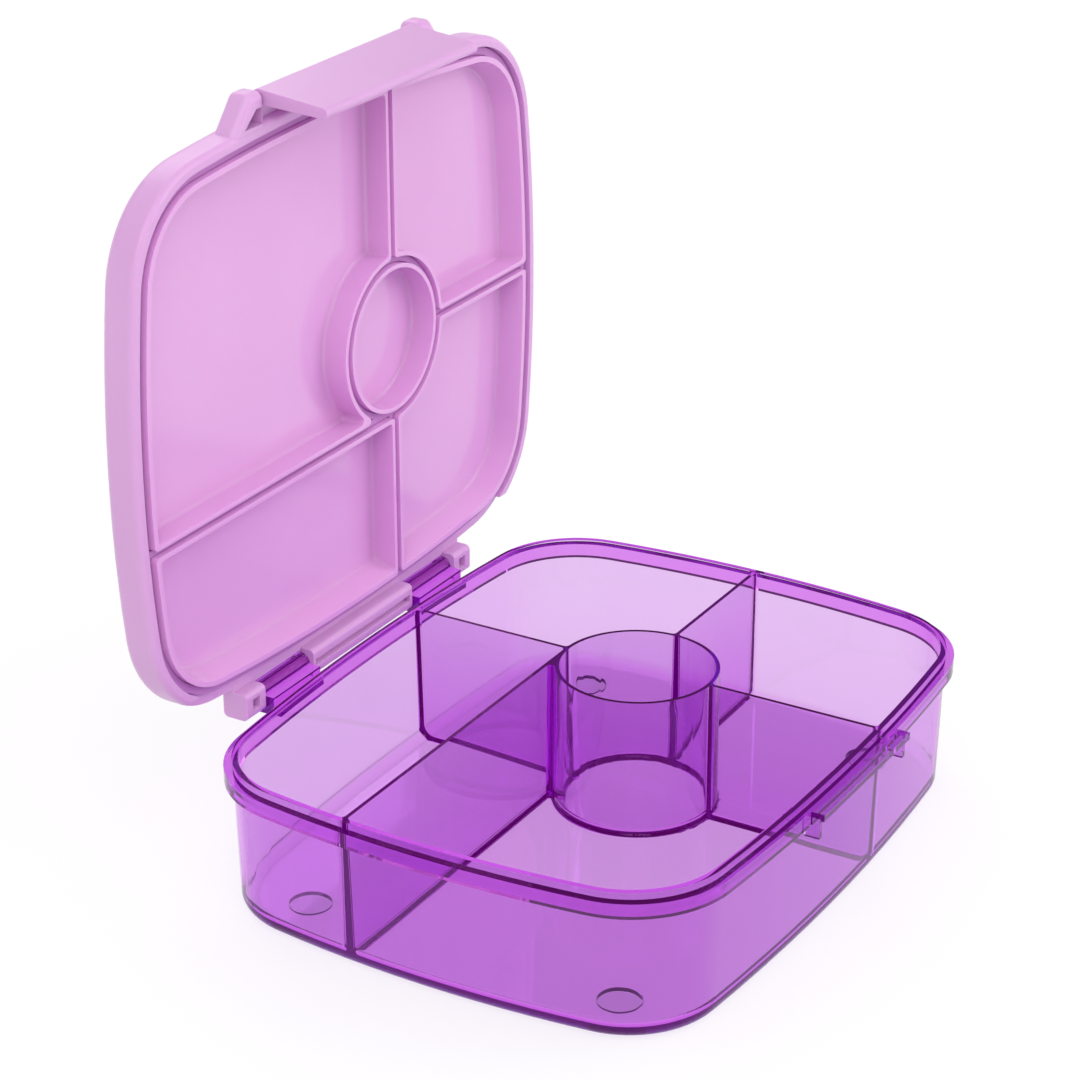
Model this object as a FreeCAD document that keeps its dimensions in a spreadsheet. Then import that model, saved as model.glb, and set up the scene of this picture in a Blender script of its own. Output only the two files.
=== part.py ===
import FreeCAD, Part
import math
import os
import re
import Sketcher

# Bento lunch box: a clear tub with five compartments, a hinged lid and a snap latch.
# X runs along the hinge, -Y is the latch side and +Z is up, in millimetres.
# The origin is the middle of the tub's underside. The lid is drawn shut and then swung open.

Vector = FreeCAD.Vector
doc = FreeCAD.newDocument("bento_lunch_box")
sheet = doc.addObject("Spreadsheet::Sheet", "dims")

SIZES = (
    # Plan outline of the rim's outer edge: four bowed sides and four round corners
    ("half_width", 103.0),
    ("half_depth", 81.9),
    ("end_bow_radius", 380.0),
    ("side_bow_radius", 780.0),
    ("corner_radius", 32.0),
    # Tub: rim flange, sealing lip, walls and floor
    ("rim_height", 44.0),
    ("flange_height", 4.6),
    ("lip_height", 2.0),
    ("lip_setback", 2.4),
    ("wall_thickness", 1.7),
    ("wall_draft", 1.2),
    ("floor_thickness", 2.4),
    ("base_edge_radius", 4.0),
    ("floor_edge_radius", 4.0),
    ("pocket_corner_radius", 1.3),
    # Dividers and the round dip cup
    ("divider_top", 1.2),
    ("divider_root", 2.4),
    ("cup_x", 22.3),
    ("cup_y", 0.2),
    ("cup_radius", 23.9),
    ("cup_wall", 1.2),
    ("cup_draft", 0.5),
    ("cup_floor_radius", 2.0),
    # Feet let into the underside, this far in from the rim's ends and sides
    ("foot_x", 25.0),
    ("foot_y", 31.9),
    ("foot_radius", 6.0),
    ("foot_thickness", 1.2),
    ("foot_gap", 0.1),
    # Lid shell
    ("seat_gap", 0.2),
    ("lid_overhang", 1.6),
    ("lid_height", 11.5),
    ("lid_panel", 1.8),
    ("lid_edge_radius", 4.5),
    ("lid_lip_radius", 1.8),
    ("lip_clearance", 0.7),
    ("relief_reach", 89.0),
    ("relief_depth", 8.0),
    ("relief_gap", 0.4),
    # Lid liner with its pans, ribs and grooves
    ("liner_gap", 0.15),
    ("pan_floor", 1.6),
    ("pan_draft", 2.5),
    ("pan_corner_radius", 1.4),
    ("pan_floor_radius", 1.1),
    ("rim_land", 1.4),
    ("rib_wall", 1.3),
    ("groove_clearance", 0.5),
    # Gasket at the bottom of the grooves
    ("gasket_thickness", 1.3),
    ("gasket_gap", 0.15),
    ("gasket_side_gap", 0.1),
    # Hinge
    ("hinge_setback", 4.7),
    ("hinge_rise", 3.2),
    ("hinge_spacing", 39.4),
    ("tab_width", 24.0),
    ("tab_root", 2.0),
    ("tab_depth", 2.5),
    ("tab_side_gap", 0.4),
    ("knuckle_radius", 3.0),
    ("hinge_pin_radius", 1.2),
    ("hinge_pin_seat", 5.0),
    ("running_clearance", 0.05),
    ("seat_clearance", 0.02),
    ("housing_radius", 4.2),
    ("housing_reach", 61.0),
    ("housing_round", 1.6),
    ("housing_pocket", 3.6),
    ("housing_pocket_depth", 2.2),
    ("housing_groove", 2.2),
    ("open_angle", 90.0),
    # Latch flap, its pin, the ears that carry it and the catch on the tub
    ("latch_setback", 7.1),
    ("latch_rise", 2.8),
    ("flap_reach", 38.5),
    ("flap_length", 20.8),
    ("flap_lean", 12.2),
    ("flap_barrel", 2.2),
    ("flap_bead", 1.6),
    ("latch_pin_radius", 1.0),
    ("latch_pin_seat", 5.5),
    ("ear_gap", 0.4),
    ("ear_thickness", 6.5),
    ("ear_ramp", 9.0),
    ("ear_radius", 2.5),
    ("ear_height", 8.0),
    ("ear_round", 2.6),
    ("ear_root", 2.5),
    ("ear_wall", 1.3),
    ("ear_pocket_depth", 5.0),
    ("ear_pocket_tip", 3.2),
    ("ear_pocket_root", 8.8),
    ("ear_pocket_length", 4.8),
    ("saddle_gap", 0.4),
    ("saddle_height", 7.0),
    ("catch_reach", 28.0),
    ("catch_overhang", 3.6),
    ("catch_thickness", 2.2),
    ("catch_leg", 8.0),
    ("catch_leg_width", 1.6),
    ("catch_leg_setback", 1.4),
    ("hook_reach", 24.0),
    ("hook_bite", 0.45),
    ("hook_height", 2.4),
    ("hook_gap", 0.4),
    ("flap_rest_angle", 7.5),
    # How far a cutting shape stands past the face that it cuts
    ("cut_margin", 1.0),
)

for row, (alias, number) in enumerate(SIZES, start=1):
    sheet.set("A%d" % row, alias.replace("_", " "))
    sheet.set("B%d" % row, str(number))
    sheet.setAlias("B%d" % row, alias)
doc.recompute()
ALIASES = {alias for alias, number in SIZES}

# Two places closer than this count as one when an edge or a face is picked
NEAR = 1e-3
# Faces that meet at less than this angle run smoothly into each other
SMOOTH_ANGLE = math.radians(8)

# Heights and places that several pieces share, as formulas of the sheet's sizes
LIP_TOP = "(rim_height + lip_height)"
HINGE_Y = "(half_depth + hinge_setback)"
HINGE_Z = "(rim_height + hinge_rise)"
LID_FACE = "(rim_height + seat_gap)"
LID_TOP = f"({LID_FACE} + lid_height)"
LINER_BACK = f"({LID_TOP} - lid_panel - liner_gap)"
PAN_FACE = f"({LINER_BACK} - pan_floor)"
GASKET_FACE = f"({LIP_TOP} + gasket_gap)"
GROOVE_TOP = f"({GASKET_FACE} + gasket_thickness)"
LATCH_Y = "(0 - half_depth - latch_setback)"
LATCH_Z = "(rim_height + latch_rise)"
FLAP_TIP_Y = f"({LATCH_Y} + flap_length * sin(flap_lean))"
FLAP_TIP_Z = f"({LATCH_Z} - flap_length * cos(flap_lean))"
CATCH_Y = "(0 - half_depth - catch_overhang)"
GROOVE_HALF = "(divider_top / 2 + groove_clearance)"
RIB_HALF = f"({GROOVE_HALF} + rib_wall)"
STRIP_HALF = f"({GROOVE_HALF} - gasket_side_gap)"
CUP_REAR = "(cup_y + cup_radius)"
CUP_FRONT = "(cup_y - cup_radius)"
CUP_SIDE = "(cup_x + cup_radius)"

# Offsets of the plan outline from the rim's outer edge, as signed lists of sizes
WALL_OUTSIDE = ("-lip_setback",)
WALL_INSIDE = ("-lip_setback", "-wall_thickness")
SHELL_OUTSIDE = ("+lid_overhang",)
SHELL_INSIDE = ("-lip_setback", "+lip_clearance")
LINER_EDGE = SHELL_INSIDE + ("-liner_gap",)
LINER_RIM = WALL_INSIDE + ("-groove_clearance",)
PAN_EDGE = LINER_RIM + ("-rim_land",)
GASKET_OUTSIDE = SHELL_INSIDE + ("-gasket_side_gap", "-liner_gap")
GASKET_INSIDE = LINER_RIM + ("+gasket_side_gap",)


def size(alias):
    return float(sheet.get(alias))


def formula(text):
    """Write the sheet's name in front of each size in a formula."""
    def named(word):
        return "dims." + word.group() if word.group() in ALIASES else word.group()
    return re.sub(r"[a-z_]+", named, text)


def bind(item, **formulas):
    for name, text in formulas.items():
        item.setExpression(name.replace("__", "."), formula(text))
    return item


def plane(body, role):
    return next(item for item in body.Origin.OriginFeatures if item.Role == role)


def attached_sketch(body, name, role):
    sketch = body.newObject("Sketcher::SketchObject", name)
    sketch.AttachmentSupport = [(plane(body, role), "")]
    sketch.MapMode = "FlatFace"
    return sketch


def constrain(sketch, text, *where):
    """Add a dimension whose value is a formula."""
    kind, *places = where
    index = sketch.addConstraint(Sketcher.Constraint(kind, *places))
    sketch.setExpression("Constraints[%d]" % index, formula(text))


def corner_centre(bow_x, bow_y, end_radius, side_radius, corner):
    """Centre of the corner arc that runs smoothly into an end arc and a side arc."""
    first = end_radius - corner
    second = side_radius - corner
    span = math.hypot(bow_x, bow_y)
    along = (first ** 2 - second ** 2 + span ** 2) / (2 * span)
    across = math.sqrt(first ** 2 - along ** 2)
    unit_x = -bow_x / span
    unit_y = bow_y / span
    return bow_x + along * unit_x - across * unit_y, along * unit_y + across * unit_x


def plan_sketch(body, name, grow, height):
    """The box's plan outline, grown by a signed list of sizes, at a height."""
    sketch = attached_sketch(body, name, "XY_Plane")
    bind(sketch, AttachmentOffset__Base__z=height)
    offset = sum(math.copysign(size(term[1:]), -1 if term[0] == "-" else 1) for term in grow)
    offset_text = "".join(f" {term[0]} {term[1:]}" for term in grow)
    end_radius = size("end_bow_radius")
    side_radius = size("side_bow_radius")
    corner = size("corner_radius")
    bow_x = size("half_width") - end_radius
    bow_y = size("half_depth") - side_radius
    mid_x, mid_y = corner_centre(bow_x, bow_y, end_radius, side_radius, corner)
    end_turn = math.atan2(mid_y, mid_x - bow_x)
    side_turn = math.atan2(mid_y - bow_y, mid_x)

    def arc(x, y, radius, start, stop):
        circle = Part.Circle(Vector(x, y, 0), Vector(0, 0, 1), radius + offset)
        sketch.addGeometry(Part.ArcOfCircle(circle, start, stop), False)

    half_turn = math.pi
    arc(bow_x, 0, end_radius, -end_turn, end_turn)
    arc(mid_x, mid_y, corner, end_turn, side_turn)
    arc(0, bow_y, side_radius, side_turn, half_turn - side_turn)
    arc(-mid_x, mid_y, corner, half_turn - side_turn, half_turn - end_turn)
    arc(-bow_x, 0, end_radius, half_turn - end_turn, half_turn + end_turn)
    arc(-mid_x, -mid_y, corner, half_turn + end_turn, half_turn + side_turn)
    arc(0, -bow_y, side_radius, half_turn + side_turn, 2 * half_turn - side_turn)
    arc(mid_x, -mid_y, corner, -side_turn, -end_turn)
    first, last, centre = 1, 2, 3
    x_axis, y_axis = -1, -2
    for index in range(8):
        sketch.addConstraint(Sketcher.Constraint("Tangent", index, last, (index + 1) % 8, first))
    for one, other in ((1, 3), (1, 5), (1, 7), (0, 4), (2, 6)):
        sketch.addConstraint(Sketcher.Constraint("Equal", one, other))
    for index, axis in ((0, x_axis), (4, x_axis), (2, y_axis), (6, y_axis)):
        sketch.addConstraint(Sketcher.Constraint("PointOnObject", index, centre, axis))
    constrain(sketch, "half_width - end_bow_radius", "DistanceX", 0, centre, bow_x)
    constrain(sketch, "end_bow_radius - half_width", "DistanceX", 4, centre, -bow_x)
    constrain(sketch, "half_depth - side_bow_radius", "DistanceY", 2, centre, bow_y)
    constrain(sketch, "side_bow_radius - half_depth", "DistanceY", 6, centre, -bow_y)
    constrain(sketch, "end_bow_radius" + offset_text, "Radius", 0, end_radius + offset)
    constrain(sketch, "side_bow_radius" + offset_text, "Radius", 2, side_radius + offset)
    constrain(sketch, "corner_radius" + offset_text, "Radius", 1, corner + offset)
    return sketch


def lies_at(edge, height):
    """True for an edge that lies flat at a height."""
    return abs(edge.BoundBox.ZMin - height) < NEAR and abs(edge.BoundBox.ZMax - height) < NEAR


def rounded(body, radius, at_top):
    """Round the body's flat top or bottom edge."""
    doc.recompute()
    box = body.Shape.BoundBox
    feature = body.Tip
    height = box.ZMax if at_top else box.ZMin
    edges = enumerate(feature.Shape.Edges, start=1)
    fillet = body.newObject("PartDesign::Fillet", body.Name + ("_top" if at_top else "_bottom"))
    fillet.Base = (feature, [f"Edge{number}" for number, edge in edges if lies_at(edge, height)])
    bind(fillet, Radius=radius)
    return body


def sharp(shape, edge):
    """True where two faces meet at an angle, and not in one smooth line."""
    faces = shape.ancestorsOfType(edge, Part.Face)
    if len(faces) < 2:
        return False
    middle = edge.valueAt((edge.FirstParameter + edge.LastParameter) / 2)
    one, other = [face.normalAt(*face.Surface.parameter(middle)) for face in faces]
    return one.getAngle(other) > SMOOTH_ANGLE


def edge_fillet(name, base, radius, picked):
    """Round the edges of a shape that a test picks."""
    doc.recompute()
    fillet = doc.addObject("Part::Fillet", name)
    fillet.Base = base
    edges = enumerate(base.Shape.Edges, start=1)
    fillet.Edges = [(number, size(radius), size(radius)) for number, edge in edges if picked(edge)]
    return fillet


def round_corners(name, base, radius):
    """Round the upright corners of a shape."""
    doc.recompute()
    shape = base.Shape
    half = shape.BoundBox.ZLength / 2
    return edge_fillet(name, base, radius, lambda edge: edge.BoundBox.ZLength > half and sharp(shape, edge))


def plan_slab(name, grow, low, high):
    """A straight-sided slab of the plan outline between two heights."""
    body = doc.addObject("PartDesign::Body", name)
    pad = body.newObject("PartDesign::Pad", name + "_pad")
    pad.Profile = plan_sketch(body, name + "_plan", grow, low)
    bind(pad, Length=f"{high} - {low}")
    return body


def plan_taper(name, grow, low, high, draft, widening):
    """A slab whose sides lean out, or in, by a draft between its two heights."""
    body = plan_slab(name, grow, low, high)
    doc.recompute()
    pad = body.Tip
    floor = pad.Shape.BoundBox.ZMin
    faces = [(f"Face{number}", face.BoundBox) for number, face in enumerate(pad.Shape.Faces, start=1)]
    lean = body.newObject("PartDesign::Draft", name + "_draft")
    lean.Base = (pad, [face for face, box in faces if box.ZLength > NEAR])
    lean.NeutralPlane = (pad, [face for face, box in faces if box.ZMax < floor + NEAR])
    lean.Reversed = widening
    bind(lean, Angle=f"atan({draft} / ({high} - {low}))")
    return body


def block(name, x, y, z):
    """A box between pairs of formulas."""
    box = doc.addObject("Part::Box", name)
    bind(box, Length=f"{x[1]} - {x[0]}", Width=f"{y[1]} - {y[0]}", Height=f"{z[1]} - {z[0]}")
    return bind(box, Placement__Base__x=x[0], Placement__Base__y=y[0], Placement__Base__z=z[0])


def rod(name, radius, x, y, z):
    """A round bar along X."""
    bar = doc.addObject("Part::Cylinder", name)
    bar.Placement = FreeCAD.Placement(Vector(), FreeCAD.Rotation(Vector(0, 1, 0), 90))
    bind(bar, Radius=radius, Height=f"{x[1]} - {x[0]}")
    return bind(bar, Placement__Base__x=x[0], Placement__Base__y=y, Placement__Base__z=z)


def post(name, radius, x, y, z):
    """A round bar along Z."""
    bar = doc.addObject("Part::Cylinder", name)
    bind(bar, Radius=radius, Height=f"{z[1]} - {z[0]}")
    return bind(bar, Placement__Base__x=x, Placement__Base__y=y, Placement__Base__z=z[0])


def cone(name, low_radius, high_radius, x, y, z):
    taper = doc.addObject("Part::Cone", name)
    bind(taper, Radius1=low_radius, Radius2=high_radius, Height=f"{z[1]} - {z[0]}")
    return bind(taper, Placement__Base__x=x, Placement__Base__y=y, Placement__Base__z=z[0])


def divider(name, along_x, x, y):
    """A wall that thins from its root to its top. The span is along X or along Y."""
    wall = doc.addObject("Part::Wedge", name)
    wall.Placement = FreeCAD.Placement(Vector(), FreeCAD.Rotation(Vector(1, 0, 0), 90))
    bind(wall, Ymin="floor_thickness / 2", Ymax=LIP_TOP)
    if along_x:
        bind(wall, Xmin=x[0], Xmax=x[1], X2min=x[0], X2max=x[1], Placement__Base__y=y)
        bind(wall, Zmin="0 - divider_root / 2", Zmax="divider_root / 2")
        return bind(wall, Z2min="0 - divider_top / 2", Z2max="divider_top / 2")
    bind(wall, Xmin="0 - divider_root / 2", Xmax="divider_root / 2", Placement__Base__x=x)
    bind(wall, X2min="0 - divider_top / 2", X2max="divider_top / 2")
    return bind(wall, Zmin=f"0 - {y[1]}", Zmax=f"0 - {y[0]}", Z2min=f"0 - {y[1]}", Z2max=f"0 - {y[0]}")


def fuse(name, *items):
    joined = doc.addObject("Part::MultiFuse", name)
    joined.Shapes = list(items)
    joined.Refine = True
    return joined


def cut(name, base, tool):
    remains = doc.addObject("Part::Cut", name)
    remains.Base = base
    remains.Tool = tool
    return remains


def common(name, one, other):
    shared = doc.addObject("Part::MultiCommon", name)
    shared.Shapes = [one, other]
    return shared


def both_sides(centre, half):
    """Formula pairs for a span about a centre and about its mirror image."""
    low, high = f"({centre} - ({half}))", f"({centre} + ({half}))"
    return (f"(0 - {high})", f"(0 - {low})"), (low, high)


def symmetric(half):
    return f"(0 - ({half}))", f"({half})"


def divider_lines(name, maker):
    """The four divider lines, run from the walls to the cup: make one item along each."""
    return (
        maker(name + "_left", True, ("(0 - half_width)", "cup_x"), CUP_REAR),
        maker(name + "_right", True, (CUP_SIDE, "half_width"), "cup_y"),
        maker(name + "_rear", False, "cup_x", (CUP_REAR, "half_depth")),
        maker(name + "_front", False, "cup_x", ("(0 - half_depth)", CUP_FRONT)),
    )


def strip_maker(half, low, high):
    """A maker of straight strips of one half width, for the ribs, grooves and gasket."""
    def strip(name, along_x, x, y):
        if along_x:
            return block(name, x, (f"({y} - {half})", f"({y} + {half})"), (low, high))
        return block(name, (f"({x} - {half})", f"({x} + {half})"), y, (low, high))
    return strip


def ring(name, half, low, high):
    """A ring over the dip cup's wall."""
    heights = (low, high)
    outer = post(name + "_outer", f"cup_radius + {half}", "cup_x", "cup_y", heights)
    inner = post(name + "_inner", f"cup_radius - {half}", "cup_x", "cup_y", heights)
    return cut(name, outer, inner)


def opened(y, z):
    """Where a point of the shut lid comes to when the lid is open."""
    arm_y = f"({y} - {HINGE_Y})"
    arm_z = f"({z} - {HINGE_Z})"
    opened_y = f"({HINGE_Y} + {arm_y} * cos(open_angle) + {arm_z} * sin(open_angle))"
    return opened_y, f"({HINGE_Z} - {arm_y} * sin(open_angle) + {arm_z} * cos(open_angle))"


def swing(item, turn, pivot_y, pivot_z):
    """Open the lid: turn a piece that was drawn shut about the hinge, and then about its own pivot."""
    item.Placement = FreeCAD.Placement(Vector(), FreeCAD.Rotation(Vector(-1, 0, 0), size("open_angle")))
    total = f"(open_angle + {turn})"
    opened_y, opened_z = opened(pivot_y, pivot_z)
    bind(item, Placement__Rotation__Angle=total)
    bind(item, Placement__Base__y=f"{opened_y} - {pivot_y} * cos({total}) - {pivot_z} * sin({total})")
    return bind(item, Placement__Base__z=f"{opened_z} + {pivot_y} * sin({total}) - {pivot_z} * cos({total})")


def with_lid(item):
    return swing(item, "0", HINGE_Y, HINGE_Z)


def hinge_tabs():
    """Two clear tabs behind the rim, each ending in a knuckle on the hinge line."""
    pieces = []
    for side, span in zip(("left", "right"), both_sides("hinge_spacing", "tab_width / 2")):
        root = ("(half_depth - tab_root)", HINGE_Y)
        pieces.append(block(f"tab_{side}", span, root, ("(rim_height - tab_depth)", HINGE_Z)))
        pieces.append(rod(f"knuckle_{side}", "knuckle_radius", span, HINGE_Y, HINGE_Z))
    return pieces


def front_catch():
    """A ledge that stands out from the rim, with a short leg down at each end."""
    wall = "(0 - half_depth + lip_setback)"
    ledge_heights = ("(rim_height - catch_thickness)", "rim_height")
    pieces = [block("catch_ledge", symmetric("catch_reach"), (CATCH_Y, wall), ledge_heights)]
    leg_depth = (f"({CATCH_Y} + catch_leg_setback)", wall)
    leg_heights = ("(rim_height - catch_leg)", "rim_height")
    leg_centre = "(catch_reach - catch_leg_width / 2)"
    for side, span in zip(("left", "right"), both_sides(leg_centre, "catch_leg_width / 2")):
        pieces.append(block(f"catch_leg_{side}", span, leg_depth, leg_heights))
    return pieces


def foot_places():
    for end, y in (("front", "(foot_y - half_depth)"), ("rear", "(half_depth - foot_y)")):
        for side, x in (("left", "(foot_x - half_width)"), ("right", "(half_width - foot_x)")):
            yield f"{end}_{side}", x, y


def base_tub():
    low_outside = WALL_OUTSIDE + ("-wall_draft",)
    envelope = plan_taper("tub_envelope", low_outside, "0", LIP_TOP, "wall_draft", True)
    rounded(envelope, "base_edge_radius", False)
    flange = plan_slab("rim_flange", (), "(rim_height - flange_height)", "rim_height")
    outside = fuse("tub_outside", envelope, flange, *hinge_tabs(), *front_catch())
    low_inside = WALL_INSIDE + ("-wall_draft",)
    hollow = plan_taper("tub_hollow", low_inside, "floor_thickness", LIP_TOP, "wall_draft", True)
    rounded(hollow, "floor_edge_radius", False)
    cup_heights = ("floor_thickness / 2", LIP_TOP)
    cup_low = "cup_radius + cup_wall / 2 + cup_draft"
    cup_outside = cone("cup_outside", cup_low, "cup_radius + cup_wall / 2", "cup_x", "cup_y", cup_heights)
    walls = fuse("tub_walls", cup_outside, *divider_lines("divider", divider))
    spaces = cut("tub_spaces", hollow, walls)
    doc.recompute()
    top = spaces.Shape.BoundBox.ZMax
    pockets = edge_fillet("tub_pockets", spaces, "pocket_corner_radius",
                          lambda edge: not lies_at(edge, top) and sharp(spaces.Shape, edge))
    bore_heights = ("floor_thickness", LIP_TOP)
    bore_low = "cup_radius - cup_wall / 2 - cup_draft"
    cup_bore = cone("cup_bore", bore_low, "cup_radius - cup_wall / 2", "cup_x", "cup_y", bore_heights)
    floor = size("floor_thickness")
    cup_space = edge_fillet("cup_space", cup_bore, "cup_floor_radius", lambda edge: lies_at(edge, floor))
    socket_heights = ("(0 - cut_margin)", "foot_thickness")
    cutters = [post(f"socket_{name}", "foot_radius + foot_gap", x, y, socket_heights)
               for name, x, y in foot_places()]
    cutters += [pockets, cup_space]
    bore = "hinge_pin_radius + running_clearance"
    through = symmetric("hinge_spacing + tab_width / 2 + cut_margin")
    cutters.append(rod("knuckle_bore", bore, through, HINGE_Y, HINGE_Z))
    return cut("base_tub", outside, fuse("tub_cutters", *cutters))


def feet():
    heights = ("0", "foot_thickness")
    return [post(f"foot_{name}", "foot_radius", x, y, heights) for name, x, y in foot_places()]


def ear_outline(body, name, side):
    """An ear seen from above: flat beside the flap, round at the tip and ramped down to the lid's edge."""
    sketch = attached_sketch(body, name, "XY_Plane")
    bind(sketch, AttachmentOffset__Base__z=LID_FACE)
    inner = side * (size("flap_reach") + size("ear_gap"))
    top = inner + side * size("ear_thickness")
    foot = top + side * size("ear_ramp")
    edge = size("ear_root") - size("half_depth") - size("lid_overhang")
    tip = -size("half_depth") - size("latch_setback") - size("ear_radius")
    corners = [Vector(inner, edge, 0), Vector(inner, tip, 0), Vector(top, tip, 0), Vector(foot, edge, 0)]
    for one, other in zip(corners, corners[1:] + corners[:1]):
        sketch.addGeometry(Part.LineSegment(one, other), False)
    first, last = 1, 2
    origin = -1
    for index in range(4):
        sketch.addConstraint(Sketcher.Constraint("Coincident", index, last, (index + 1) % 4, first))
    for kind, index in (("Vertical", 0), ("Horizontal", 1), ("Horizontal", 3)):
        sketch.addConstraint(Sketcher.Constraint(kind, index))
    sign = "" if side > 0 else "0 - "
    inner_text = "(flap_reach + ear_gap)"
    top_text = f"({inner_text} + ear_thickness)"
    constrain(sketch, sign + inner_text, "DistanceX", origin, first, 0, first, inner)
    constrain(sketch, sign + top_text, "DistanceX", origin, first, 1, last, top)
    constrain(sketch, sign + f"({top_text} + ear_ramp)", "DistanceX", origin, first, 2, last, foot)
    constrain(sketch, "ear_root - half_depth - lid_overhang", "DistanceY", origin, first, 0, first, edge)
    constrain(sketch, f"{LATCH_Y} - ear_radius", "DistanceY", origin, first, 0, last, tip)
    return sketch


def lid_ears():
    """Two ramped ears at the lid's front edge that carry the latch pin."""
    pieces = []
    for name, side in (("ear_left", -1), ("ear_right", 1)):
        body = doc.addObject("PartDesign::Body", name)
        pad = body.newObject("PartDesign::Pad", name + "_pad")
        pad.Profile = ear_outline(body, name + "_plan", side)
        bind(pad, Length="ear_height")
        doc.recompute()
        tip = pad.Shape.BoundBox.YMin

        def at_tip(edge):
            box = edge.BoundBox
            return box.YMax < tip + NEAR or (box.YMin < tip + NEAR and box.ZLength < NEAR)

        edges = list(enumerate(pad.Shape.Edges, start=1))
        fillet = body.newObject("PartDesign::Fillet", name + "_round")
        fillet.Base = (pad, [f"Edge{number}" for number, edge in edges if at_tip(edge)])
        bind(fillet, Radius="ear_round")
        pieces.append(body)
    return pieces


def ear_pockets():
    """A hollow under each ear that keeps its walls even: narrow at the tip and wide at the lid's edge."""
    near = "(flap_reach + ear_gap + ear_wall)"
    root = "(0 - half_depth - lid_overhang + ear_root - ear_wall)"
    low = f"({LID_FACE} - cut_margin)"
    high = f"({LID_FACE} + ear_pocket_depth)"
    pockets = []
    for name, sign in (("ear_pocket_left", "0 - "), ("ear_pocket_right", "")):
        pocket = doc.addObject("Part::Wedge", name)
        bind(pocket, Ymin=f"{root} - ear_pocket_length", Ymax=root)
        bind(pocket, Zmin=low, Zmax=high, Z2min=low, Z2max=high)
        ends = [near, f"({near} + ear_pocket_tip)", near, f"({near} + ear_pocket_root)"]
        if sign:
            ends = [ends[1], ends[0], ends[3], ends[2]]
        bind(pocket, Xmin=sign + ends[0], Xmax=sign + ends[1], X2min=sign + ends[2], X2max=sign + ends[3])
        pockets.append(pocket)
    return pockets


def hinge_housing():
    """A squarish bar along the hinge line, grooved in the middle and hollowed at its two ends."""
    across = (f"({HINGE_Y} - housing_radius)", f"({HINGE_Y} + housing_radius)")
    low = f"({HINGE_Z} - housing_radius)"
    high = f"({HINGE_Z} + housing_radius)"
    blank = block("housing_blank", symmetric("housing_reach"), across, (low, high))
    bar = edge_fillet("housing_bar", blank, "housing_round", lambda edge: edge.BoundBox.XLength > NEAR
                      and edge.BoundBox.YLength < NEAR and edge.BoundBox.ZLength < NEAR)
    below = (f"({low} - cut_margin)", f"({low} + housing_pocket_depth)")
    window_end = "(hinge_spacing + tab_width / 2 + tab_side_gap)"
    middle = f"(({window_end} + housing_reach) / 2)"
    square = (f"({HINGE_Y} - housing_pocket / 2)", f"({HINGE_Y} + housing_pocket / 2)")
    slots = [block(f"housing_pocket_{side}", span, square, below)
             for side, span in zip(("left", "right"), both_sides(middle, "housing_pocket / 2"))]
    groove_end = "(hinge_spacing - tab_width / 2 - tab_side_gap - housing_groove / 2)"
    groove = (f"({HINGE_Y} - housing_groove / 2)", f"({HINGE_Y} + housing_groove / 2)")
    slots.append(block("housing_groove", symmetric(groove_end), groove, below))
    return cut("hinge_housing", bar, fuse("housing_slots", *slots))


def lid_shell():
    cover = rounded(plan_slab("lid_cover", SHELL_OUTSIDE, LID_FACE, LID_TOP), "lid_edge_radius", True)
    rounded(cover, "lid_lip_radius", False)
    inside_heights = (f"({LID_FACE} - cut_margin)", f"({LID_TOP} - lid_panel)")
    inside = plan_slab("lid_inside", SHELL_INSIDE, *inside_heights)
    relief_top = f"({HINGE_Z} + relief_gap)"
    relief = block("lid_relief", symmetric("relief_reach"),
                   ("(half_depth - relief_depth)", f"({HINGE_Y} + cut_margin)"),
                   (f"({LID_FACE} - cut_margin)", relief_top))
    wall = cut("lid_wall", cover, fuse("lid_cutters", inside, relief))
    web = block("housing_web", symmetric("housing_reach"),
                ("(half_depth - lip_setback + lip_clearance)", HINGE_Y),
                (relief_top, f"({HINGE_Z} + housing_radius)"))
    bored = f"({HINGE_Y} + housing_radius + cut_margin)"
    saddle = block("latch_saddle", symmetric("flap_reach + ear_gap"),
                   (f"({LATCH_Y} + flap_barrel + saddle_gap)", "(0 - half_depth - lid_overhang + ear_root)"),
                   (f"({LATCH_Z} + saddle_gap)", f"({LID_FACE} + saddle_height)"))
    openings = ear_pockets()
    for side, span in zip(("left", "right"), both_sides("hinge_spacing", "(tab_width / 2 + tab_side_gap)")):
        front = f"({HINGE_Y} - knuckle_radius - tab_side_gap)"
        low = f"({HINGE_Z} - housing_radius - cut_margin)"
        high = f"({HINGE_Z} + knuckle_radius + tab_side_gap)"
        openings.append(block(f"window_{side}", span, (front, bored), (low, high)))
        clear = f"({HINGE_Y} - housing_radius - cut_margin)"
        openings.append(block(f"window_foot_{side}", span, (clear, HINGE_Y), (low, relief_top)))
    for side, span in zip(("left", "right"), both_sides("hinge_spacing", "(tab_width / 2 + hinge_pin_seat)")):
        openings.append(rod(f"lug_bore_{side}", "hinge_pin_radius + seat_clearance", span, HINGE_Y, HINGE_Z))
    pin_span = symmetric("flap_reach + ear_gap + latch_pin_seat")
    openings.append(rod("ear_bore", "latch_pin_radius + seat_clearance", pin_span, LATCH_Y, LATCH_Z))
    solid = fuse("lid_solid", wall, hinge_housing(), web, saddle, *lid_ears())
    return with_lid(cut("lid_shell", solid, fuse("lid_openings", *openings)))


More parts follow.
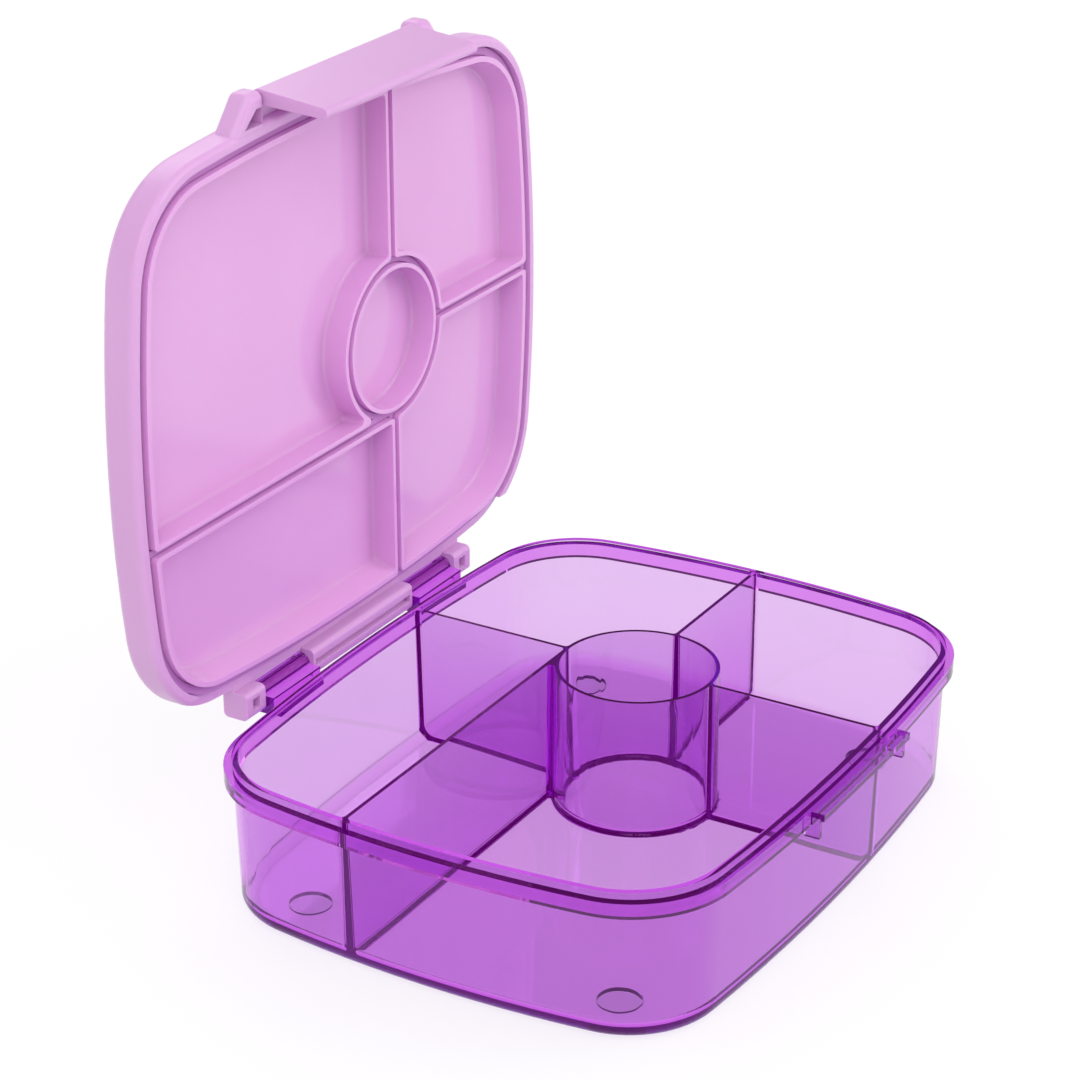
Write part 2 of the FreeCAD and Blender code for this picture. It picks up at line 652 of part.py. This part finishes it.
def lid_liner():
    back = plan_slab("liner_back", LINER_EDGE, GROOVE_TOP, LINER_BACK)
    rim = plan_slab("liner_rim", LINER_RIM, LID_FACE, GROOVE_TOP)
    face = f"({LID_FACE} - cut_margin)"
    pan_form = plan_taper("pan_form", PAN_EDGE, face, PAN_FACE, "pan_draft", False)
    rib_top = f"({PAN_FACE} + cut_margin)"
    disc = post("rib_disc", f"cup_radius + {RIB_HALF}", "cup_x", "cup_y", (face, rib_top))
    hole = post("rib_hole", f"cup_radius - {RIB_HALF}", "cup_x", "cup_y", (face, rib_top))
    strips = divider_lines("rib", strip_maker(RIB_HALF, face, rib_top))
    ribs = cut("ribs", fuse("rib_blank", disc, *strips), hole)
    spaces = cut("pan_spaces", pan_form, ribs)
    upright = round_corners("pan_corners", spaces, "pan_corner_radius")
    floor = spaces.Shape.BoundBox.ZMax
    pans = edge_fillet("pans", upright, "pan_floor_radius", lambda edge: lies_at(edge, floor))
    grooves = fuse("grooves", ring("ring_groove", GROOVE_HALF, face, GROOVE_TOP),
                   *divider_lines("groove", strip_maker(GROOVE_HALF, face, GROOVE_TOP)))
    plugs = round_corners("liner_plugs", cut("plug_blanks", rim, grooves), "pocket_corner_radius")
    return with_lid(cut("lid_liner", fuse("liner_blank", back, plugs), pans))


def lid_gasket():
    """One soft strip round the lid and along every groove, where the lip and dividers press."""
    outer = plan_slab("gasket_outer", GASKET_OUTSIDE, GASKET_FACE, GROOVE_TOP)
    inner = plan_slab("gasket_inner", GASKET_INSIDE, GASKET_FACE, GROOVE_TOP)
    strips = fuse("gasket_strips", ring("gasket_ring", STRIP_HALF, GASKET_FACE, GROOVE_TOP),
                  *divider_lines("gasket", strip_maker(STRIP_HALF, GASKET_FACE, GROOVE_TOP)))
    loop = cut("gasket_loop", outer, inner)
    return with_lid(fuse("lid_gasket", loop, common("gasket_inside", strips, outer)))


def hinge_pins():
    spans = both_sides("hinge_spacing", "(tab_width / 2 + hinge_pin_seat)")
    return [rod(f"hinge_pin_{side}", "hinge_pin_radius", span, HINGE_Y, HINGE_Z)
            for side, span in zip(("left", "right"), spans)]


def latch_pin():
    span = symmetric("flap_reach + ear_gap + latch_pin_seat")
    return rod("latch_pin", "latch_pin_radius", span, *opened(LATCH_Y, LATCH_Z))


def flap_outline(body):
    """The flap's side view: a round barrel at the pin, tapering to a rounded bead at the free edge."""
    sketch = attached_sketch(body, "flap_side", "YZ_Plane")
    barrel = size("flap_barrel")
    bead = size("flap_bead")
    lean = math.radians(size("flap_lean"))
    pivot = Vector(-size("half_depth") - size("latch_setback"), size("rim_height") + size("latch_rise"), 0)
    tip = pivot + Vector(math.sin(lean), -math.cos(lean), 0) * size("flap_length")
    span = pivot - tip
    axis = math.atan2(span.y, span.x)
    spread = math.acos((barrel - bead) / span.Length)
    normal = Vector(0, 0, 1)

    def tangent_line(angle):
        along = Vector(math.cos(angle), math.sin(angle), 0)
        return [pivot + along * barrel, tip + along * bead]

    outer = axis + spread
    inner = axis - spread
    sketch.addGeometry(Part.ArcOfCircle(Part.Circle(pivot, normal, barrel), inner, outer), False)
    sketch.addGeometry(Part.LineSegment(*tangent_line(outer)), False)
    sketch.addGeometry(Part.ArcOfCircle(Part.Circle(tip, normal, bead), outer, inner + 2 * math.pi), False)
    sketch.addGeometry(Part.LineSegment(*reversed(tangent_line(inner))), False)
    first, last, centre = 1, 2, 3
    for index in range(4):
        sketch.addConstraint(Sketcher.Constraint("Tangent", index, last, (index + 1) % 4, first))
    constrain(sketch, "flap_barrel", "Radius", 0, barrel)
    constrain(sketch, "flap_bead", "Radius", 2, bead)
    constrain(sketch, LATCH_Y, "DistanceX", 0, centre, pivot.x)
    constrain(sketch, LATCH_Z, "DistanceY", 0, centre, pivot.y)
    constrain(sketch, FLAP_TIP_Y, "DistanceX", 2, centre, tip.x)
    constrain(sketch, FLAP_TIP_Z, "DistanceY", 2, centre, tip.y)
    return sketch


def latch_flap():
    body = doc.addObject("PartDesign::Body", "flap_body")
    pad = body.newObject("PartDesign::Pad", "flap_pad")
    pad.Profile = flap_outline(body)
    pad.Midplane = True
    bind(pad, Length="2 * flap_reach")
    hook_depth = (f"({LATCH_Y} + flap_barrel / 2)", f"({CATCH_Y} + hook_bite)")
    hook_top = "(rim_height - catch_thickness - hook_gap)"
    hook_heights = (f"({hook_top} - hook_height)", hook_top)
    hook = block("flap_hook", symmetric("hook_reach"), hook_depth, hook_heights)
    bore = rod("flap_bore", "latch_pin_radius + running_clearance", symmetric("flap_reach + cut_margin"),
               LATCH_Y, LATCH_Z)
    flap = cut("latch_flap", fuse("flap_blank", body, hook), bore)
    return swing(flap, "flap_rest_angle", LATCH_Y, LATCH_Z)


sub_parts = [base_tub(), *feet()]
sub_parts += [lid_shell(), lid_liner(), lid_gasket()]
sub_parts += [*hinge_pins(), latch_pin(), latch_flap()]
doc.recompute()

for item in doc.Objects:
    if "Invalid" in item.State or "Error" in item.State:
        raise RuntimeError(f"{item.Label} failed: {item.State}")
for item in sub_parts:
    if item.Shape.isNull() or not item.Shape.isValid():
        raise RuntimeError(f"{item.Label} has no valid shape")

os.makedirs("parts", exist_ok=True)
for item in sub_parts:
    item.Shape.exportStep(f"parts/{item.Label}.step")
    print(item.Label, len(item.Shape.Solids), "solid,", round(item.Shape.Volume / 1000, 2), "cm3")
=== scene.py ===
# %% [markdown]
# A bento lunch box, open on a white table. The tub is clear purple copolyester, and the lid, its
# liner and the latch flap are orchid pink polypropylene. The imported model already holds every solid
# at its real size, so this lesson gives those solids soft moulded edges and true materials, sets
# the light, and puts the camera where the photograph was taken.

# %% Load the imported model
import math

import bpy
from mathutils import Matrix, Vector

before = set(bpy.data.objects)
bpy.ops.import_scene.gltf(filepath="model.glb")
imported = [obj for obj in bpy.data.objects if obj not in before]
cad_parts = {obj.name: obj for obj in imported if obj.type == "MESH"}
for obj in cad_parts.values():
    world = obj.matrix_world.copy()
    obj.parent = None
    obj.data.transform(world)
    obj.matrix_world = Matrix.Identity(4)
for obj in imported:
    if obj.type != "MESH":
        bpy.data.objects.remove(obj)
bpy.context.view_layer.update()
MM = 0.001

# %% [markdown]
# Colours are easiest to read as the hex values of a paint program, which are sRGB. Shaders work in
# linear light, so one function turns the first into the second. Another adds a node, sets its
# options, and fills each input with a value or with a link to another node's output. Noise is laid
# out in the object's own coordinates, in real lengths, so it moves with the piece.

# %% Colour and node helpers
def linear(code):
    """Turn an sRGB hex colour into linear RGBA."""
    def channel(byte):
        value = byte / 255
        return value / 12.92 if value <= 0.04045 else ((value + 0.055) / 1.055) ** 2.4
    return (*(channel(byte) for byte in bytes.fromhex(code.lstrip("#"))), 1.0)


def add(tree, kind, inputs=None, **options):
    """Add a node with its options, and set or link its inputs."""
    node = tree.nodes.new(kind)
    for name, value in options.items():
        setattr(node, name, value)
    for name, value in (inputs or {}).items():
        socket = node.inputs[name]
        if isinstance(value, bpy.types.NodeSocket):
            tree.links.new(value, socket)
        else:
            socket.default_value = value
    return node


def new_material(name):
    """An empty node material and its tree."""
    material = bpy.data.materials.new(name)
    material.use_nodes = True
    material.node_tree.nodes.clear()
    return material, material.node_tree


def noise(tree, size_mm, detail):
    """Noise that varies over a real length on the object."""
    coords = add(tree, "ShaderNodeTexCoord")
    return add(tree, "ShaderNodeTexNoise", {
        "Vector": coords.outputs["Object"], "Scale": 1 / (size_mm * MM), "Detail": detail})


def dress(material, *nodes):
    """Give the named solids a material."""
    for node in nodes:
        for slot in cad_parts[node].material_slots:
            slot.material = material
    print(material.name, "on", ", ".join(nodes))


print("Orchid pink in linear light:", [round(value, 3) for value in linear("#DFA6DE")])

# %% [markdown]
# A moulded edge is never sharp: the steel of the mould is cut with a round tool and the part shrinks
# away from it. A hard CAD edge catches no highlight and looks like paper. The solids keep their
# meshes, and a stack of modifiers softens them: weld the split corners, join coplanar triangles so
# the bevel has clean faces to slide on, round the sharp edges, and let the large faces lead the
# shading.

# %% Soft moulded edges
WELD_GAP = 0.004 * MM
FLAT_ANGLE = math.radians(0.4)
SHARP_ANGLE = math.radians(32)
EDGE_STEPS = 3
LARGE_FACE_WEIGHT = 100
EDGE_RADIUS_MM = {
    "base_tub": 0.35,
    "lid_shell": 0.6,
    "lid_liner": 0.5,
    "latch_flap": 0.5,
    "lid_gasket": 0.3,
}


def smooth_group():
    """A small node group that shades every face smooth."""
    group = bpy.data.node_groups.new("shade smooth", "GeometryNodeTree")
    group.interface.new_socket("Geometry", in_out="INPUT", socket_type="NodeSocketGeometry")
    group.interface.new_socket("Geometry", in_out="OUTPUT", socket_type="NodeSocketGeometry")
    start = add(group, "NodeGroupInput")
    smooth = add(group, "GeometryNodeSetShadeSmooth", {"Geometry": start.outputs["Geometry"]})
    add(group, "NodeGroupOutput", {"Geometry": smooth.outputs["Geometry"]})
    return group


def soften(node, radius_mm, shade_smooth):
    """Round a solid's sharp edges without touching its mesh."""
    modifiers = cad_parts[node].modifiers
    weld = modifiers.new("weld", "WELD")
    weld.merge_threshold = WELD_GAP
    plain = modifiers.new("join flat faces", "DECIMATE")
    plain.decimate_type = "DISSOLVE"
    plain.angle_limit = FLAT_ANGLE
    bevel = modifiers.new("round edges", "BEVEL")
    bevel.width = radius_mm * MM
    bevel.segments = EDGE_STEPS
    bevel.limit_method = "ANGLE"
    bevel.angle_limit = SHARP_ANGLE
    bevel.miter_outer = "MITER_ARC"
    smooth = modifiers.new("shade smooth", "NODES")
    smooth.node_group = shade_smooth
    weighted = modifiers.new("weighted normals", "WEIGHTED_NORMAL")
    weighted.weight = LARGE_FACE_WEIGHT


shade_smooth = smooth_group()
for node, radius in EDGE_RADIUS_MM.items():
    soften(node, radius, shade_smooth)
print("Softened", len(EDGE_RADIUS_MM), "solids")

# %% [markdown]
# The feet are soft pads that sit in sockets in the underside. Two clear faces that lie exactly on
# each other confuse a ray, so each pad is swollen a hair's breadth into the walls of its socket, as
# a real rubber pad would be.

# %% Feet pressed into their sockets
FOOT_PRESS_MM = 0.15
feet = [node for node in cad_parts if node.startswith("foot_")]
for node in feet:
    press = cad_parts[node].modifiers.new("pressed into its socket", "DISPLACE")
    press.strength = FOOT_PRESS_MM * MM
    press.mid_level = 0.0
print("Pressed in", len(feet), "feet")

# %% [markdown]
# The tub is injection moulded copolyester, a clear plastic close to glass. It has hardly any colour
# on its surface: the purple is in the bulk, so light that crosses a thin wall is pale lilac and
# light that runs along a wall, up a divider or round the rim comes out nearly black. Painting those
# dark lines would be wrong from any other side, so the shader gives a clear skin, and a volume
# absorbs with depth. The volume also has a faint painted glow, an emission that stands in for the
# light that the dye scatters. Shadow rays pass straight through, because bent ones would need far
# more samples.

# %% Clear tub
TUB_IOR = 1.5
TUB_ROUGHNESS = 0.02
RIPPLE_MM = 60
RIPPLE_DEPTH_MM = 0.3
RIPPLE_STRENGTH = 0.05
DYE_DENSITY = 280.0
# Strength of the painted glow, an emission in the tub's bulk that stands in for scattered light.
PAINTED_GLOW_STRENGTH = 13.0


def clear_copolyester():
    """Clear purple plastic: a polished skin, colour that builds up with depth, and a painted glow in the
    bulk.
    """
    material, tree = new_material("moulded copolyester, clear purple")
    flow = noise(tree, RIPPLE_MM, detail=1.0)
    ripple = add(tree, "ShaderNodeBump", {
        "Height": flow.outputs["Fac"], "Strength": RIPPLE_STRENGTH, "Distance": RIPPLE_DEPTH_MM * MM})
    skin = add(tree, "ShaderNodeBsdfPrincipled", {
        "Base Color": linear("#EEF2F4"), "Roughness": TUB_ROUGHNESS, "IOR": TUB_IOR,
        "Transmission Weight": 1.0, "Specular Tint": linear("#D0A0DC"), "Normal": ripple.outputs["Normal"]})
    passing = add(tree, "ShaderNodeBsdfTransparent", {"Color": linear("#F6EAFB")})
    path = add(tree, "ShaderNodeLightPath")
    surface = add(tree, "ShaderNodeMixShader", {
        "Fac": path.outputs["Is Shadow Ray"], 1: skin.outputs["BSDF"], 2: passing.outputs["BSDF"]})
    depth = add(tree, "ShaderNodeVolumeAbsorption", {"Color": linear("#E900F7"), "Density": DYE_DENSITY})
    # Painted glow: the volume gives off a deep purple light of its own, standing in for light that the dye
    # scatters.
    painted_glow = add(tree, "ShaderNodeEmission", {"Color": linear("#B500A8"), "Strength": PAINTED_GLOW_STRENGTH})
    bulk = add(tree, "ShaderNodeAddShader", {0: depth.outputs["Volume"], 1: painted_glow.outputs["Emission"]})
    add(tree, "ShaderNodeOutputMaterial", {
        "Surface": surface.outputs["Shader"], "Volume": bulk.outputs["Shader"]})
    return material


dress(clear_copolyester(), "base_tub")

# %% [markdown]
# The feet are clear silicone. Clear on clear, only the thin edge of each pad shows through the floor,
# as a dark ellipse. The flat faces let light straight through, and the upright ones are painted an
# opaque dark purple, painted shade for that dark edge.

# %% Clear feet
SILICONE_IOR = 1.41
PAD_EDGE_ROUGHNESS = 0.3


def clear_silicone():
    """Clear pads: see-through faces, and upright faces painted dark purple as painted shade."""
    material, tree = new_material("clear silicone foot pad")
    shape = add(tree, "ShaderNodeNewGeometry")
    facing = add(tree, "ShaderNodeSeparateXYZ", {"Vector": shape.outputs["True Normal"]})
    level = add(tree, "ShaderNodeMath", {0: facing.outputs["Z"]}, operation="ABSOLUTE")
    clear = add(tree, "ShaderNodeBsdfTransparent", {"Color": linear("#F4E6F8")})
    # Painted shade: the upright faces of each pad are an opaque dark purple, standing in for the dark rim
    # that a clear pad shows.
    edge = add(tree, "ShaderNodeBsdfPrincipled", {
        "Base Color": linear("#4A0A58"), "Roughness": PAD_EDGE_ROUGHNESS, "IOR": SILICONE_IOR})
    surface = add(tree, "ShaderNodeMixShader", {
        "Fac": level.outputs["Value"], 1: edge.outputs["BSDF"], 2: clear.outputs["BSDF"]})
    add(tree, "ShaderNodeOutputMaterial", {"Surface": surface.outputs["Shader"]})
    return material


dress(clear_silicone(), *feet)

# %% [markdown]
# The lid is polypropylene, a waxy, slightly milky plastic. Light enters it a little way before it
# comes back, which softens shadows in the corners of the pans, so the shader has some subsurface
# scattering. The liner's pans are polished in the mould and show faint reflections, while the shell
# and the flap have a finer satin. The liner is painted a shade paler than the shell, painted light
# for the pans that the open tub shades. The pins are the same plastic, painted a deeper pink as
# painted shade for the hollows of the hinge where they sit.

# %% Orchid pink polypropylene
LID_IOR = 1.49
CLOUD_MM = 45
GRAIN_MM = 0.6
GRAIN_DEPTH_MM = 0.05
GRAIN_STRENGTH = 0.06
GLOSS_SPREAD = 0.15
MILKINESS = 0.35
MILK_DEPTH_MM = 2.5
MILK_COLOUR_REACH = (1.0, 0.6, 0.9)


def polypropylene(name, pale, deep, roughness):
    """Satin moulded polypropylene, with the faint cloudiness of its flow in the mould."""
    material, tree = new_material(name)
    cloud = noise(tree, CLOUD_MM, detail=2.0)
    colour = add(tree, "ShaderNodeMix", {
        "Factor": cloud.outputs["Fac"], "A": linear(pale), "B": linear(deep)}, data_type="RGBA")
    grain = noise(tree, GRAIN_MM, detail=2.0)
    satin = add(tree, "ShaderNodeBump", {
        "Height": grain.outputs["Fac"], "Strength": GRAIN_STRENGTH, "Distance": GRAIN_DEPTH_MM * MM})
    gloss = add(tree, "ShaderNodeMapRange", {
        "Value": cloud.outputs["Fac"],
        "To Min": roughness * (1 - GLOSS_SPREAD), "To Max": roughness * (1 + GLOSS_SPREAD)})
    skin = add(tree, "ShaderNodeBsdfPrincipled", {
        "Base Color": colour.outputs["Result"], "Roughness": gloss.outputs["Result"], "IOR": LID_IOR,
        "Subsurface Weight": MILKINESS, "Subsurface Radius": MILK_COLOUR_REACH,
        "Subsurface Scale": MILK_DEPTH_MM * MM, "Normal": satin.outputs["Normal"]})
    add(tree, "ShaderNodeOutputMaterial", {"Surface": skin.outputs["BSDF"]})
    return material


dress(polypropylene("moulded polypropylene, lid shell", "#E0B0E1", "#DAA5DA", 0.32), "lid_shell")
# Painted light: the liner is the shell's plastic, painted a shade paler for the pans that the tub shades.
dress(polypropylene("polished polypropylene, lid liner", "#E6B2E4", "#E2A7DF", 0.14), "lid_liner")
dress(polypropylene("moulded polypropylene, latch flap", "#DEB0DF", "#D8A4D8", 0.3), "latch_flap")
# Painted shade: the pins are the same plastic, painted a deeper pink for the shade inside the hinge.
dress(polypropylene("moulded polypropylene, pins", "#D68AD0", "#CF80C8", 0.3),
      "hinge_pin_left", "hinge_pin_right", "latch_pin")

# %% [markdown]
# The gasket is silicone rubber: no gloss, and a little sheen from the fine powder on its surface.

# %% Silicone
BLOOM_MM = 1.5
BLOOM_SHEEN = 0.1
MATT_RANGE = (0.45, 0.65)


def silicone(name, colour):
    """Matt silicone rubber with an uneven, powdery surface."""
    material, tree = new_material(name)
    bloom = noise(tree, BLOOM_MM, detail=3.0)
    gloss = add(tree, "ShaderNodeMapRange", {
        "Value": bloom.outputs["Fac"], "To Min": MATT_RANGE[0], "To Max": MATT_RANGE[1]})
    skin = add(tree, "ShaderNodeBsdfPrincipled", {
        "Base Color": linear(colour), "Roughness": gloss.outputs["Result"], "IOR": SILICONE_IOR,
        "Sheen Weight": BLOOM_SHEEN})
    add(tree, "ShaderNodeOutputMaterial", {"Surface": skin.outputs["BSDF"]})
    return material


dress(silicone("silicone gasket, violet", "#C486C9"), "lid_gasket")

# %% [markdown]
# The photograph is a studio picture on white. The floor is a plain white sheet that still takes the
# box's shadow: it is a diffuse surface with a light of its own for the eye, mirrors and glass, and
# a weaker one for the light that it throws back.

# %% White floor
FLOOR_HALF = 1.6
FLOOR_DROP = 0.3 * MM
FLOOR_GLOW = 0.74
FLOOR_LIGHT = 0.45


def seen_ray(tree, path):
    """One for camera, mirror and glass rays, and nought for the rays that light things."""
    mirror = add(tree, "ShaderNodeMath", {
        0: path.outputs["Is Camera Ray"], 1: path.outputs["Is Glossy Ray"]}, operation="MAXIMUM")
    glass = add(tree, "ShaderNodeMath", {
        0: mirror.outputs["Value"], 1: path.outputs["Is Transmission Ray"]}, operation="MAXIMUM")
    return glass.outputs["Value"]


def white_floor():
    """A matt sheet with a glow of its own."""
    material, tree = new_material("white studio sheet")
    matt = add(tree, "ShaderNodeBsdfDiffuse", {"Color": linear("#8C8B8D")})
    path = add(tree, "ShaderNodeLightPath")
    strength = add(tree, "ShaderNodeMix", {
        "Factor": seen_ray(tree, path), "A": FLOOR_LIGHT, "B": FLOOR_GLOW})
    glow = add(tree, "ShaderNodeEmission", {
        "Color": linear("#FFFFFF"), "Strength": strength.outputs["Result"]})
    both = add(tree, "ShaderNodeAddShader", {0: matt.outputs["BSDF"], 1: glow.outputs["Emission"]})
    add(tree, "ShaderNodeOutputMaterial", {"Surface": both.outputs["Shader"]})
    return material


corners = [(x * FLOOR_HALF, y * FLOOR_HALF, -FLOOR_DROP) for x, y in ((-1, -1), (1, -1), (1, 1), (-1, 1))]
floor_mesh = bpy.data.meshes.new("studio_floor")
floor_mesh.from_pydata(corners, [], [(0, 1, 2, 3)])
floor_mesh.materials.append(white_floor())
floor = bpy.data.objects.new("studio_floor", floor_mesh)
bpy.context.scene.collection.objects.link(floor)
print("Floor", FLOOR_HALF * 2, "m wide")

# %% [markdown]
# The world is white as well, and dimmer where it lights the object. Above, the studio is dark apart
# from its lamps. Mirrors and glass see that dark ceiling, and this draws the dark lines along every
# edge of the clear plastic.

# %% Studio world
AMBIENT = 0.8
CEILING = 0.12
DIMMING_STARTS = 0.03
DIMMING_ENDS = 0.3


def studio_world():
    """White round about, dark overhead for mirrors and glass, and even for the light that falls."""
    world = bpy.data.worlds.new("white studio")
    world.use_nodes = True
    tree = world.node_tree
    tree.nodes.clear()
    path = add(tree, "ShaderNodeLightPath")
    coords = add(tree, "ShaderNodeTexCoord")
    height = add(tree, "ShaderNodeSeparateXYZ", {"Vector": coords.outputs["Generated"]})
    room = add(tree, "ShaderNodeMapRange", {
        "Value": height.outputs["Z"], "From Min": DIMMING_STARTS, "From Max": DIMMING_ENDS,
        "To Min": 1.0, "To Max": CEILING}, interpolation_type="SMOOTHSTEP")
    view = add(tree, "ShaderNodeMix", {
        "Factor": path.outputs["Is Camera Ray"], "A": room.outputs["Result"], "B": 1.0})
    level = add(tree, "ShaderNodeMix", {
        "Factor": seen_ray(tree, path), "A": AMBIENT, "B": view.outputs["Result"]})
    sky = add(tree, "ShaderNodeBackground", {"Color": linear("#FFFFFF"), "Strength": level.outputs["Result"]})
    add(tree, "ShaderNodeOutputWorld", {"Surface": sky.outputs["Background"]})
    return world


bpy.context.scene.world = studio_world()
print("World", bpy.context.scene.world.name, "with ambient light", AMBIENT)

# %% [markdown]
# Three soft boxes shape the plastic: a large key over the left shoulder of the camera, a weaker fill
# from the right, and one behind that lights the inside of the tub through its walls. Places and
# widths are in metres, and power is in watts.

# %% Studio lights
MIDDLE = Vector((0.0, 0.0, 0.08))


def softbox(name, place, width, watts):
    """A square area light that faces the middle of the box."""
    lamp = bpy.data.lights.new(name, "AREA")
    lamp.size = width
    lamp.energy = watts
    piece = bpy.data.objects.new(name, lamp)
    piece.location = place
    piece.rotation_euler = (MIDDLE - Vector(place)).to_track_quat("-Z", "Y").to_euler()
    bpy.context.scene.collection.objects.link(piece)


softbox("key softbox", place=(-0.9, -0.5, 1.1), width=0.9, watts=5.5)
softbox("fill softbox", place=(0.6, -1.0, 0.7), width=0.8, watts=4.5)
softbox("rear softbox", place=(0.7, 0.9, 1.0), width=0.8, watts=3.5)
print("Lights:", [light.name for light in bpy.data.lights])

# %% [markdown]
# The camera's place and aim were worked out from the lines of the rim, the floor and the dividers in
# the photograph. They are written as a position and two directions in the box's own frame, with the
# focal length that makes the box as large in the frame as it is there.

# %% Camera
CAMERA_PLACE = Vector((-711.3, -397.85, 463.71)) * MM
CAMERA_RIGHT = Vector((0.5066, -0.8622, -0.0009))
CAMERA_BACK = Vector((-0.7855, -0.4621, 0.4116))
FOCAL_PIXELS = 3144.1
FRAME_PIXELS = 1080
SENSOR_MM = 36.0

back = CAMERA_BACK.normalized()
right = (CAMERA_RIGHT - back * CAMERA_RIGHT.dot(back)).normalized()
up = back.cross(right)
camera_data = bpy.data.cameras.new("studio camera")
camera_data.sensor_width = SENSOR_MM
camera_data.lens = SENSOR_MM * FOCAL_PIXELS / FRAME_PIXELS
camera = bpy.data.objects.new("studio camera", camera_data)
camera.matrix_world = Matrix.Translation(CAMERA_PLACE) @ Matrix((right, up, back)).transposed().to_4x4()
bpy.context.scene.collection.objects.link(camera)
bpy.context.scene.camera = camera
bpy.context.scene.view_settings.view_transform = "Standard"
print("Lens", round(camera_data.lens, 1), "mm")
